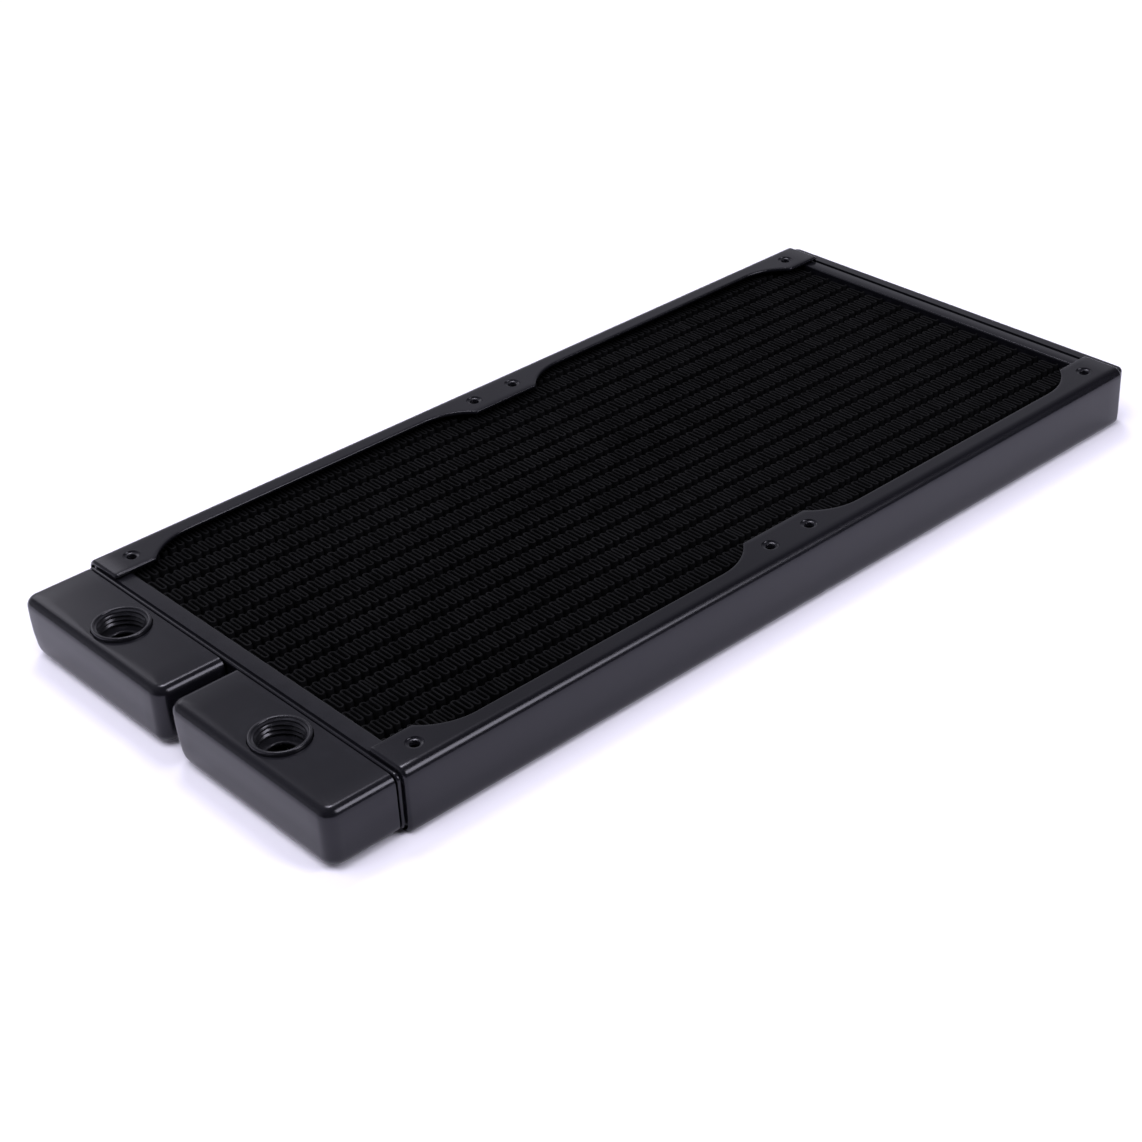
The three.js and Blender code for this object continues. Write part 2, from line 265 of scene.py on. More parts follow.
class Web:
    """Adds nodes to a node tree and links them in short calls."""

    def __init__(self, tree: bpy.types.NodeTree) -> None:
        """Works on the given tree."""
        self.tree = tree

    def node(self, kind: str, **values: object) -> bpy.types.Node:
        """Adds a node.

        Args:
            kind: The node's type name.
            **values: Its properties by name.

        Returns:
            The new node.
        """
        made = self.tree.nodes.new(kind)
        for key, value in values.items():
            setattr(made, key, value)
        return made

    def feed(self, target: bpy.types.NodeSocket, value: object) -> None:
        """Links a socket to another, or sets it to a plain value.

        Args:
            target: The socket to feed.
            value: The output socket or the value.
        """
        if isinstance(value, bpy.types.NodeSocket):
            self.tree.links.new(value, target)
        else:
            target.default_value = value

    def noise(
        self, where: bpy.types.NodeSocket, scale: object, detail: float, rough: float = 0.5
    ) -> bpy.types.NodeSocket:
        """Adds a noise texture.

        Args:
            where: The position to read it at.
            scale: How many lumps there are in a metre, a number or a socket.
            detail: Number of finer layers.
            rough: How strong the finer layers are.

        Returns:
            The noise's factor, from 0 to 1.
        """
        made = self.node("ShaderNodeTexNoise")
        self.feed(made.inputs["Vector"], where)
        self.feed(made.inputs["Scale"], scale)
        self.feed(made.inputs["Detail"], detail)
        self.feed(made.inputs["Roughness"], rough)
        return made.outputs["Fac"]

    def maths(self, operation: str, *values: object) -> bpy.types.NodeSocket:
        """Adds a Math node.

        Args:
            operation: What it does with its values.
            *values: Numbers or sockets.

        Returns:
            The result.
        """
        made = self.node("ShaderNodeMath", operation=operation)
        for socket, value in zip(made.inputs, values):
            self.feed(socket, value)
        return made.outputs["Value"]

    def between(
        self, value: object, low: object, high: object, start: object = 0.0, stop: object = 1.0
    ) -> bpy.types.NodeSocket:
        """Maps a value in a straight line from one range to another, held at both ends.

        Args:
            value: The value.
            low: Where the first range starts.
            high: Where it ends.
            start: What low becomes.
            stop: What high becomes.

        Returns:
            The mapped value.
        """
        made = self.node("ShaderNodeMapRange", clamp=True)
        for socket, given in zip(made.inputs, (value, low, high, start, stop)):
            self.feed(socket, given)
        return made.outputs["Result"]

    def mix(self, share: object, first: object, second: object) -> bpy.types.NodeSocket:
        """Mixes two colours.

        Args:
            share: The second colour's share.
            first: The first colour.
            second: The second colour.

        Returns:
            The mixed colour.
        """
        made = self.node("ShaderNodeMix", data_type="RGBA")
        for name, value in (("Factor_Float", share), ("A_Color", first), ("B_Color", second)):
            socket = next(s for s in made.inputs if s.identifier == name)
            self.feed(socket, value)
        return next(s for s in made.outputs if s.identifier == "Result_Color")


class PaintSkin:
    """Shader group of sprayed paint: orange peel, fine grain and slow changes of shade."""

    SLOW_SCALE = 14.0
    SLOW_RANGE = (0.3, 0.7)
    ROUGHNESS_SHARES = (0.6, 0.4)
    HEIGHT_SHARES = (0.7, 0.3)

    def __init__(self) -> None:
        """Builds the group once."""
        inputs = {
            "Vector": (VECTOR, None),
            "Colour": (COLOUR, (0.01, 0.01, 0.01, 1.0)),
            "Shade": (FLOAT, 0.15),
            "Roughness": (FLOAT, 0.3),
            "Spread": (FLOAT, 0.05),
            "Peel scale": (FLOAT, 900.0),
            "Grain scale": (FLOAT, 4000.0),
        }
        outputs = {"Colour": COLOUR, "Roughness": FLOAT, "Height": FLOAT}
        self.group, given, out = new_group("paint_skin", inputs, outputs)
        web = Web(self.group)
        where = given.outputs["Vector"]
        slow = web.noise(where, self.SLOW_SCALE, 3.0)
        peel = web.noise(where, given.outputs["Peel scale"], 1.0)
        grain = web.noise(where, given.outputs["Grain scale"], 2.0)
        swing = web.between(slow, *self.SLOW_RANGE, -1.0, 1.0)
        swing = web.maths("MULTIPLY", swing, given.outputs["Shade"])
        tint = web.node("ShaderNodeHueSaturation")
        web.feed(tint.inputs["Color"], given.outputs["Colour"])
        web.feed(tint.inputs["Value"], web.maths("ADD", swing, 1.0))
        web.feed(out.inputs["Colour"], tint.outputs["Color"])
        uneven = self.blend(web, slow, grain, self.ROUGHNESS_SHARES)
        drift = web.maths("MULTIPLY", web.maths("SUBTRACT", uneven, 0.5), given.outputs["Spread"])
        web.feed(out.inputs["Roughness"], web.maths("ADD", given.outputs["Roughness"], drift))
        web.feed(out.inputs["Height"], self.blend(web, peel, grain, self.HEIGHT_SHARES))

    @staticmethod
    def blend(
        web: Web,
        first: bpy.types.NodeSocket,
        second: bpy.types.NodeSocket,
        shares: tuple[float, float],
    ) -> bpy.types.NodeSocket:
        """Adds two values up, each times its share.

        Args:
            web: Where the nodes go.
            first: The first value.
            second: The second value.
            shares: The share of each.

        Returns:
            The sum.
        """
        parts = [web.maths("MULTIPLY", *pair) for pair in zip((first, second), shares)]
        return web.maths("ADD", *parts)


class EdgeWear:
    """Shader group that lightens and polishes paint where the surface turns sharply."""

    BEND_RANGE = (0.004, 0.06)
    PATCH_SCALE = 260.0
    PATCH_RANGE = (0.35, 0.65)
    POLISH = 0.3

    def __init__(self) -> None:
        """Builds the group once."""
        inputs = {
            "Vector": (VECTOR, None),
            "Bend": (FLOAT, 0.0),
            "Colour": (COLOUR, (0.01, 0.01, 0.01, 1.0)),
            "Worn colour": (COLOUR, (0.05, 0.05, 0.05, 1.0)),
            "Roughness": (FLOAT, 0.3),
            "Amount": (FLOAT, 0.5),
        }
        outputs = {"Colour": COLOUR, "Roughness": FLOAT}
        self.group, given, out = new_group("edge_wear", inputs, outputs)
        web = Web(self.group)
        patch = web.noise(given.outputs["Vector"], self.PATCH_SCALE, 3.0)
        edge = web.between(given.outputs["Bend"], *self.BEND_RANGE)
        mask = web.maths("MULTIPLY", edge, web.between(patch, *self.PATCH_RANGE))
        share = web.maths("MULTIPLY", mask, given.outputs["Amount"])
        mixed = web.mix(share, given.outputs["Colour"], given.outputs["Worn colour"])
        web.feed(out.inputs["Colour"], mixed)
        smoother = web.maths("SUBTRACT", 1.0, web.maths("MULTIPLY", share, self.POLISH))
        rough = web.maths("MULTIPLY", given.outputs["Roughness"], smoother)
        web.feed(out.inputs["Roughness"], rough)


class SettledDust:
    """Shader group of a faint film of dust on faces that look upwards."""

    UPWARD_RANGE = (0.3, 1.0)
    FILM_SCALE = 60.0
    FILM_RANGE = (0.4, 0.75)

    def __init__(self) -> None:
        """Builds the group once."""
        inputs = {
            "Vector": (VECTOR, None),
            "Colour": (COLOUR, (0.01, 0.01, 0.01, 1.0)),
            "Dust colour": (COLOUR, (0.2, 0.2, 0.2, 1.0)),
            "Roughness": (FLOAT, 0.3),
            "Amount": (FLOAT, 0.02),
        }
        outputs = {"Colour": COLOUR, "Roughness": FLOAT}
        self.group, given, out = new_group("settled_dust", inputs, outputs)
        web = Web(self.group)
        facing = web.node("ShaderNodeSeparateXYZ")
        geometry = web.node("ShaderNodeNewGeometry")
        web.feed(facing.inputs["Vector"], geometry.outputs["Normal"])
        upward = web.between(facing.outputs["Z"], *self.UPWARD_RANGE)
        lumps = web.noise(given.outputs["Vector"], self.FILM_SCALE, 6.0, 0.65)
        film = web.between(lumps, *self.FILM_RANGE)
        share = web.maths("MULTIPLY", web.maths("MULTIPLY", upward, film), given.outputs["Amount"])
        mixed = web.mix(share, given.outputs["Colour"], given.outputs["Dust colour"])
        web.feed(out.inputs["Colour"], mixed)
        web.feed(out.inputs["Roughness"], web.maths("ADD", given.outputs["Roughness"], share))


@dataclass(frozen=True)
class Effects:
    """The shader groups that the finishes share."""

    skin: PaintSkin
    wear: EdgeWear
    dust: SettledDust


@dataclass(frozen=True)
class Paint:
    """A sprayed or dipped paint finish on metal, named after the slot that it fills."""

    slot: str
    colour: Triple
    worn_colour: Triple
    roughness: float
    spread: float
    shade: float
    peel_scale: float
    grain_scale: float
    bump: float
    wear: float
    dust: float
    specular: float
    tint: Triple = (0.92, 0.915, 1.0)
    bump_distance: float = 0.05 * MM

    def material(self, effects: Effects) -> bpy.types.Material:
        """Builds the finish's material from the shared groups.

        Args:
            effects: The shared shader groups.

        Returns:
            The new material.
        """
        made = bpy.data.materials.new(self.slot)
        made.use_nodes = True
        made.node_tree.nodes.clear()
        web = Web(made.node_tree)
        where = web.node("ShaderNodeTexCoord").outputs["Object"]
        bend = web.node("ShaderNodeAttribute", attribute_name="bend").outputs["Fac"]
        skin = web.node("ShaderNodeGroup", node_tree=effects.skin.group)
        wear = web.node("ShaderNodeGroup", node_tree=effects.wear.group)
        dust = web.node("ShaderNodeGroup", node_tree=effects.dust.group)
        settings = {
            skin: {
                "Vector": where,
                "Colour": (*self.colour, 1.0),
                "Shade": self.shade,
                "Roughness": self.roughness,
                "Spread": self.spread,
                "Peel scale": self.peel_scale,
                "Grain scale": self.grain_scale,
            },
            wear: {
                "Vector": where,
                "Bend": bend,
                "Colour": skin.outputs["Colour"],
                "Worn colour": (*self.worn_colour, 1.0),
                "Roughness": skin.outputs["Roughness"],
                "Amount": self.wear,
            },
            dust: {
                "Vector": where,
                "Colour": wear.outputs["Colour"],
                "Roughness": wear.outputs["Roughness"],
                "Amount": self.dust,
            },
        }
        for node, values in settings.items():
            for socket, value in values.items():
                web.feed(node.inputs[socket], value)
        bump = web.node("ShaderNodeBump")
        bump.inputs["Strength"].default_value = self.bump
        bump.inputs["Distance"].default_value = self.bump_distance
        web.feed(bump.inputs["Height"], skin.outputs["Height"])
        shader = web.node("ShaderNodeBsdfPrincipled")
        web.feed(shader.inputs["Base Color"], dust.outputs["Colour"])
        web.feed(shader.inputs["Roughness"], dust.outputs["Roughness"])
        web.feed(shader.inputs["Normal"], bump.outputs["Normal"])
        shader.inputs["Specular IOR Level"].default_value = self.specular
        shader.inputs["Specular Tint"].default_value = (*self.tint, 1.0)
        out = web.node("ShaderNodeOutputMaterial")
        web.feed(out.inputs["Surface"], shader.outputs["BSDF"])
        return made


CASING_PAINT = Paint(
    slot="casing_paint",
    colour=(0.0042, 0.0042, 0.0058),
    worn_colour=(0.016, 0.016, 0.02),
    roughness=0.22,
    spread=0.04,
    shade=0.12,
    peel_scale=380.0,
    grain_scale=2600.0,
    bump=0.035,
    wear=0.2,
    dust=0.005,
    specular=0.32,
)
BUSH_FINISH = Paint(
    slot="bush_finish",
    colour=(0.006, 0.006, 0.0075),
    worn_colour=(0.03, 0.03, 0.035),
    roughness=0.25,
    spread=0.05,
    shade=0.1,
    peel_scale=1100.0,
    grain_scale=5200.0,
    bump=0.03,
    wear=0.4,
    dust=0.004,
    specular=0.4,
)
# The tube paint is a darker copy of the black fin paint. Its dullness is its own, but its darker
# colour is partly painted shade for the tube tops, which sit down in the grooves between the fin
# rows.
TUBE_PAINT = Paint(
    slot="tube_paint",
    colour=(0.0015, 0.0015, 0.0017),
    worn_colour=(0.004, 0.004, 0.0045),
    roughness=0.85,
    spread=0.1,
    shade=0.2,
    peel_scale=1500.0,
    grain_scale=6000.0,
    bump=0.2,
    wear=0.2,
    dust=0.004,
    specular=0.1,
)
FIN_PAINT = Paint(
    slot="fin_paint",
    colour=(0.0024, 0.0024, 0.0026),
    worn_colour=(0.008, 0.008, 0.009),
    roughness=0.6,
    spread=0.14,
    shade=0.3,
    peel_scale=1800.0,
    grain_scale=7000.0,
    bump=0.25,
    wear=0.3,
    dust=0.013,
    specular=0.04,
)


# ---------------------------------------------------------------- side rails


@dataclass
class SideRail:
    """A pressed C-section rail with fan tabs and tapped, dimpled fan holes in both flanges.

    It is worked out as the near rail. The far one is the same turned half round.
    """

    side: Side
    sheet: float = 1.2 * MM
    bend_radius: float = 3.0 * MM
    narrow_flange: float = 7 * MM
    tab_depth: float = 14 * MM
    tab_half_length: float = 12 * MM
    corner_tab_length: float = 13.2 * MM
    blend_radius: float = 20 * MM
    edge: float = 0.5 * MM
    end_round: float = 1.0 * MM
    end_inner_share: float = 0.15
    hole_edge: float = 0.3 * MM
    hole_radius: float = 1.45 * MM
    dimple_radius: float = 2.5 * MM
    dimple_depth: float = 0.55 * MM
    collar_radius: float = 2.3 * MM
    collar_depth: float = 1.0 * MM
    thread_pitch: float = 0.5 * MM
    thread_depth: float = 0.14 * MM
    block_half: float = 3.0 * MM
    block_cells: int = 8
    rim_steps: int = 4
    bend_steps: int = 8
    web_steps: int = 3
    end_steps: int = 5
    arc_stations: int = 15
    straight_stations: int = 12
    bore_stations: int = 14

    def __post_init__(self) -> None:
        """Takes the rail's box from its CAD node and works out what depends on its sizes."""
        self.node = f"side_rail_{self.side.name.lower()}"
        low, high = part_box(self.node)
        self.x0, self.x1 = low.x, high.x
        self.middle = (low.x + high.x) / 2
        self.outer_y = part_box("side_rail_near")[0].y
        self.height = high.z
        half = (FAN_PITCH - HOLE_SQUARE) / 2
        self.holes = self.middle + np.array([-FAN_PITCH + half, -half, half, FAN_PITCH - half])
        self.hole_across = -HOLE_SQUARE / 2 - self.outer_y
        left = self.blend_radius - (self.tab_depth - self.narrow_flange)
        self.blend_run = math.sqrt(self.blend_radius**2 - left**2)
        # In a flange's line the blocks of the holes start after one point of the cut edge, the
        # rim's arc and one point of the flat.
        self.block_start = self.rim_steps + 3

    def flange_width(self, x: np.ndarray) -> np.ndarray:
        """How far the flange reaches in from the rail's outer face at each x.

        It is narrow between the tabs, and each tab runs out to it along a concave arc that ends
        tangent: the width is the narrow one plus the height of that arc, which grows as one
        minus the cosine of the way along it.

        Args:
            x: Positions along the rail.

        Returns:
            The flange's width at each of them.
        """
        away = np.abs(x - self.middle)
        radius, run = self.blend_radius, self.blend_run
        middle_end = self.tab_half_length + run
        corner_start = (self.x1 - self.x0) / 2 - self.corner_tab_length - run
        into = np.clip(np.maximum(middle_end - away, away - corner_start), 0.0, run)
        return self.narrow_flange + radius - np.sqrt(radius**2 - into**2)

    def along(self) -> np.ndarray:
        """Works out positions along the rail: close together at the arcs and the holes.

        Returns:
            The positions, rising.
        """
        half = (self.x1 - self.x0) / 2
        corner = half - self.corner_tab_length
        arc = np.linspace(0.0, self.blend_run, self.arc_stations)
        straight = (self.tab_half_length + self.blend_run, corner - self.blend_run)
        away = stations(
            self.tab_half_length + arc,
            corner - arc,
            np.linspace(*straight, self.straight_stations),
            np.array([0.0, half - self.end_round]),
        )
        blocks = [
            hole + np.linspace(-self.block_half, self.block_half, self.block_cells + 1)
            for hole in self.holes
        ]
        return stations(self.middle - away, self.middle + away, *blocks)

    def half_side(self, inset: float) -> tuple[np.ndarray, np.ndarray, np.ndarray]:
        """The upper half of the section's outer or inner line, from the flange's rim down.

        A point's distance from the rail's outer face is share times the flange's width plus
        shift, so the same section serves every width.

        Args:
            inset: 0 for the outer line, the sheet's thickness for the inner.

        Returns:
            The shares, shifts and heights of the points.
        """
        top = self.height
        rim = quarter(self.rim_steps)
        bend = quarter(self.bend_steps)[1:]
        turn = 1.0 if inset == 0.0 else -1.0
        radius = self.bend_radius - inset
        flat = self.tab_depth - self.edge
        span = flat - self.bend_radius
        first = (flat - self.hole_across - self.block_half) / span
        last = (flat - self.hole_across + self.block_half) / span
        block = np.linspace(first, last, self.block_cells + 1)
        part = np.concatenate([[first / 2], block, [(1 + last) / 2, 1.0]])
        web = np.linspace(top - self.bend_radius, top / 2, self.web_steps + 1)[1:]
        share = np.concatenate([np.ones(1 + len(rim)), 1 - part, np.zeros(len(bend) + len(web))])
        shift = np.concatenate(
            [
                [0.0],
                self.edge * (np.cos(rim) - 1),
                part * self.bend_radius - (1 - part) * self.edge,
                self.bend_radius - radius * np.sin(bend),
                np.full(len(web), inset),
            ]
        )
        level = top - inset
        height = np.concatenate(
            [
                [top - self.sheet / 2],
                level - turn * self.edge * (1 - np.sin(rim)),
                np.full(len(part), level),
                top - self.bend_radius + radius * np.cos(bend),
                web,
            ]
        )
        return share, shift, height

    def side_line(self, inset: float) -> tuple[np.ndarray, np.ndarray, np.ndarray]:
        """Works out the whole outer or inner line: the upper half, then its mirror.

        Args:
            inset: 0 for the outer line, the sheet's thickness for the inner.

        Returns:
            The shares, shifts and heights of the points.
        """
        share, shift, height = self.half_side(inset)
        return (
            np.concatenate([share, share[-2::-1]]),
            np.concatenate([shift, shift[-2::-1]]),
            np.concatenate([height, self.height - height[-2::-1]]),
        )

    def build(self) -> bpy.types.Object:
        """Carries the closed section along the rail and opens the fan holes in it.

        The section's loop runs down the outer line and back up the inner line. At each end of
        the rail its points draw in along their own normals as a quarter arc does, the outer
        ones far and the inner ones a little, so the cut edge is well rounded on the outside.

        Returns:
            The rail's object.
        """
        lines = [self.side_line(inset) for inset in (0.0, self.sheet)]
        count = len(lines[0][0])
        share, shift, height = (
            np.concatenate([outer, inner[::-1]]) for outer, inner in zip(*lines)
        )
        ease = quarter(self.end_steps)
        main = self.along()
        x = np.concatenate(
            [
                self.x0 + self.end_round * (1 - np.sin(ease[::-1])),
                main[1:-1],
                self.x1 - self.end_round * (1 - np.sin(ease)),
            ]
        )
        shrink = np.zeros(len(x))
        shrink[: len(ease)] = self.end_round * (1 - np.cos(ease[::-1]))
        shrink[-len(ease) :] = self.end_round * (1 - np.cos(ease))
        reach = np.where(np.arange(len(share)) < count, 1.0, self.end_inner_share)
        shrink = shrink[:, None] * reach
        across = share * self.flange_width(x)[:, None] + shift
        flat = np.stack([share * self.tab_depth + shift, height], axis=1)
        tangent = np.roll(flat, -1, axis=0) - np.roll(flat, 1, axis=0)
        tangent /= np.linalg.norm(tangent, axis=1, keepdims=True)
        y = self.outer_y + across - shrink * tangent[:, 1]
        z = height + shrink * tangent[:, 0]
        grid = np.stack([np.broadcast_to(x[:, None], y.shape), y, z], axis=-1)
        skin = Skin()
        cells = np.ones((len(x) - 1, len(share)), bool)
        for hole in self.holes:
            first = int(np.argmin(np.abs(x - (hole - self.block_half))))
            rows = slice(first, first + self.block_cells + 1)
            for turned in (False, True):
                self.open_hole(skin, grid, cells, rows, count, hole, turned)
        skin.add(grid, around=True, cells=cells)
        for end in (0, -1):
            skin.add(np.stack([grid[end, :count], grid[end, : count - 1 : -1]]))
        turn = self.middle if self.side is Side.FAR else None
        return skin.piece(f"{self.node}_pressing", turn)

    def open_hole(
        self,
        skin: Skin,
        grid: np.ndarray,
        cells: np.ndarray,
        rows: slice,
        count: int,
        hole: float,
        turned: bool,
    ) -> None:
        """Takes a block of cells out of both faces of a flange and fits a dimpled, tapped hole.

        Its surface is a stack of rings: from the block's square rim on the outer face into a
        rounded dimple, down the threaded bore, round the collar's foot and up to the square rim
        on the inner face. The thread is a wave in radius that climbs one pitch in each turn.

        Args:
            skin: Where the hole's surface goes.
            grid: The rail's points.
            cells: The rail's cells, from which the block is taken.
            rows: The block's rows.
            count: Number of points in the section's outer line.
            hole: Where the hole is along X.
            turned: Whether the hole is in the lower flange.
        """
        first = self.block_start
        outer = slice(first, first + self.block_cells + 1)
        if turned:
            outer = slice(count - first - self.block_cells - 1, count - first)
        inner = slice(2 * count - outer.stop, 2 * count - outer.start)
        for columns in (outer, inner):
            cells[rows.start : rows.stop - 1, columns.start : columns.stop - 1] = False
        top = block_rim(grid, rows, outer)
        below = block_rim(grid[:, ::-1], rows, outer)
        y = self.outer_y + self.hole_across
        dip = quarter(self.rim_steps)
        reach = self.dimple_radius - self.hole_radius
        radii = self.dimple_radius - reach * (1 - np.cos(dip))
        depths = self.dimple_depth * np.sin(dip)
        foot = self.sheet + self.collar_depth
        bore = np.linspace(self.dimple_depth, foot - self.hole_edge, self.bore_stations)[1:]
        wall = self.collar_radius - self.hole_edge
        radii = np.concatenate(
            [
                [self.dimple_radius + self.hole_edge],
                radii,
                np.full(len(bore), self.hole_radius),
                [self.hole_radius + self.hole_edge, wall, self.collar_radius, self.collar_radius],
            ]
        )
        depths = np.concatenate(
            [[0.0], depths, bore, [foot, foot, foot - self.hole_edge, self.sheet]]
        )
        threaded = np.zeros(len(radii))
        threaded[1 + len(dip) : 1 + len(dip) + len(bore)] = 1.0
        angle = np.arctan2(top[:, 1] - y, top[:, 0] - hole)
        climb = depths[:, None] / self.thread_pitch - angle / FULL_TURN
        wave = threaded[:, None] * self.thread_depth * np.abs(2 * (climb % 1.0) - 1)
        radius = radii[:, None] - wave
        depth = np.broadcast_to(depths[:, None], radius.shape)
        z = depth if turned else self.height - depth
        rings = np.stack([hole + radius * np.cos(angle), y + radius * np.sin(angle), z], axis=-1)
        skin.add(np.concatenate([top[None], rings, below[None]]), around=True)


@dataclass
class Casing:
    """The two side rails."""

    paint: bpy.types.Material

    def build(self) -> None:
        """Builds and dresses both rails."""
        for side in Side:
            rail = SideRail(side)
            dress(rail.build(), self.paint, CASING_PAINT.slot, rail.node)


# ---------------------------------------------------------------- tanks


@dataclass
class Tank:
    """A pressed tank with rounded edges, open towards its header plate.

    It is worked out with its front towards -X. The return tank is turned half round.
    """

    node: str
    end: End
    port_y: float | None = None
    port_x: float = 0.0
    port_radius: float = 8.35 * MM
    wall: float = 1.5 * MM
    corner: float = 4.0 * MM
    foot_corner: float = 8.5 * MM
    edge: float = 2.7 * MM
    seam: float = 0.35 * MM
    least_edge: float = 0.3 * MM
    least_side_cells: int = 4
    side_cell: float = 2.5 * MM
    front_cell: float = 4 * MM
    corner_steps: int = 8
    edge_steps: int = 6
    wall_steps: int = 3
    face_steps: int = 3

    def __post_init__(self) -> None:
        """Takes the tank's box from its CAD node, turned so that its front is at -X."""
        low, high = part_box(self.node)
        self.z0, self.z1 = low.z, high.z
        self.y0, self.y1 = low.y, high.y
        self.front, self.mouth = low.x, high.x
        if self.end is End.RETURN:
            self.front, self.mouth = -high.x, -low.x
            self.y0, self.y1 = -high.y, -low.y
        self.mouth -= self.seam

    def corner_at(self, height: float) -> float:
        """The +Y plan corner's radius at a height: it grows with the depth's fourth power."""
        depth = (self.z1 - height) / (self.z1 - self.z0)
        return self.corner + (self.foot_corner - self.corner) * depth**4

    def outline(
        self, wall: float, inset: float, height: float
    ) -> tuple[np.ndarray, np.ndarray]:
        """Works out the plan outline drawn in by a wall and an inset, and its mouth's line.

        The outline runs along one side, round a corner arc, along the front, round the other
        arc and back along the other side. Both arcs keep their middles whatever the inset.

        Args:
            wall: 0 for the outer skin, the wall's thickness for the inner.
            inset: How far inside that skin's widest outline it lies.
            height: Its height, which sets the +Y corner's radius.

        Returns:
            The outline and the mouth line, each of shape (count, 2).
        """
        in_by = wall + inset
        grown = self.corner_at(height)
        y0, y1 = self.y0 + in_by, self.y1 - in_by
        arc_x0, arc_x1 = self.front + self.corner, self.front + grown
        arc_y0, arc_y1 = self.y0 + self.corner, self.y1 - grown
        length = int((self.mouth - self.front - self.corner) / self.side_cell)
        length = max(self.least_side_cells, length)
        width = int((self.y1 - self.y0 - 2 * self.corner) / self.front_cell)
        side0 = np.linspace(self.mouth, arc_x0, length + 1)
        side1 = np.linspace(arc_x1, self.mouth, length + 1)
        front = np.linspace(arc_y0, arc_y1, width + 1)
        arc = quarter(self.corner_steps)
        x = [
            side0,
            arc_x0 - (self.corner - in_by) * np.sin(arc),
            np.full(len(front), self.front + in_by),
            arc_x1 - (grown - in_by) * np.cos(arc),
            side1,
        ]
        y = [
            np.full(len(side0), y0),
            arc_y0 - (self.corner - in_by) * np.cos(arc),
            front,
            arc_y1 + (grown - in_by) * np.sin(arc),
            np.full(len(side1), y1),
        ]
        outline = np.stack([np.concatenate(x), np.concatenate(y)], axis=1)
        across = np.linspace(y1, y0, width + 1)
        return outline, np.stack([np.full(len(across), self.mouth), across], axis=1)

    def skin_patches(self, wall: float) -> dict[str, np.ndarray]:
        """Works out one skin of the tank: its top, its bottom and the band between them.

        The band is the outline carried down a section that eases from the flat top through a
        quarter arc to the upright wall and back under. The top closes from the outline to the
        port's circle or to a point, and the bottom to a point, along straight lines.

        Args:
            wall: 0 for the outer skin, the wall's thickness for the inner.

        Returns:
            The grids called "band", "top" and "bottom".
        """
        edge = max(self.edge - wall, self.least_edge)
        high, low = self.z1 - wall, self.z0 + wall
        ease = quarter(self.edge_steps)
        insets = edge * (1 - np.sin(ease))
        heights = high - edge + edge * np.cos(ease)
        middle = np.linspace(high - edge, low + edge, self.wall_steps + 1)[1:-1]
        insets = np.concatenate([insets, 0 * middle, insets[::-1]])
        heights = np.concatenate([heights, middle, (high + low - heights)[::-1]])
        rows = [
            np.insert(self.outline(wall, inset, height)[0], 2, height, axis=1)
            for inset, height in zip(insets, heights)
        ]
        rim = np.concatenate(self.outline(wall, edge, heights[0]))
        foot = np.concatenate(self.outline(wall, edge, heights[-1]))
        centre = np.array([(self.front + self.mouth) / 2, (self.y0 + self.y1) / 2])
        part = np.linspace(0.0, 1.0, self.face_steps + 1)[:, None, None]
        point = np.broadcast_to(centre, rim.shape)
        port = point
        if self.port_y is not None:
            angle = np.arctan2(rim[:, 1] - self.port_y, rim[:, 0] - self.port_x)
            ring = np.stack([np.cos(angle), np.sin(angle)], axis=1)
            port = np.array([self.port_x, self.port_y]) + self.port_radius * ring
        top = (1 - part) * rim + part * port
        bottom = (1 - part) * foot + part * point
        return {
            "band": np.stack(rows),
            "top": np.insert(top, 2, high, axis=2),
            "bottom": np.insert(bottom, 2, low, axis=2),
        }

    def build(self) -> bpy.types.Object:
        """Joins the outer and inner skins round the mouth and through the port.

        Returns:
            The tank's object.
        """
        outer, inner = self.skin_patches(0.0), self.skin_patches(self.wall)
        skin = Skin()
        for patches in (outer, inner):
            skin.add(patches["band"])
            skin.add(patches["top"], around=True)
            skin.add(patches["bottom"], around=True)
        for column in (0, -1):
            skin.add(np.stack([outer["band"][:, column], inner["band"][:, column]]))
        mouth = slice(outer["band"].shape[1], None)
        for face in ("top", "bottom"):
            skin.add(np.stack([outer[face][0, mouth], inner[face][0, mouth]]))
        if self.port_y is not None:
            skin.add(np.stack([outer["top"][-1], inner["top"][-1]]), around=True)
        return skin.piece(f"{self.node}_shell", 0.0 if self.end is End.RETURN else None)


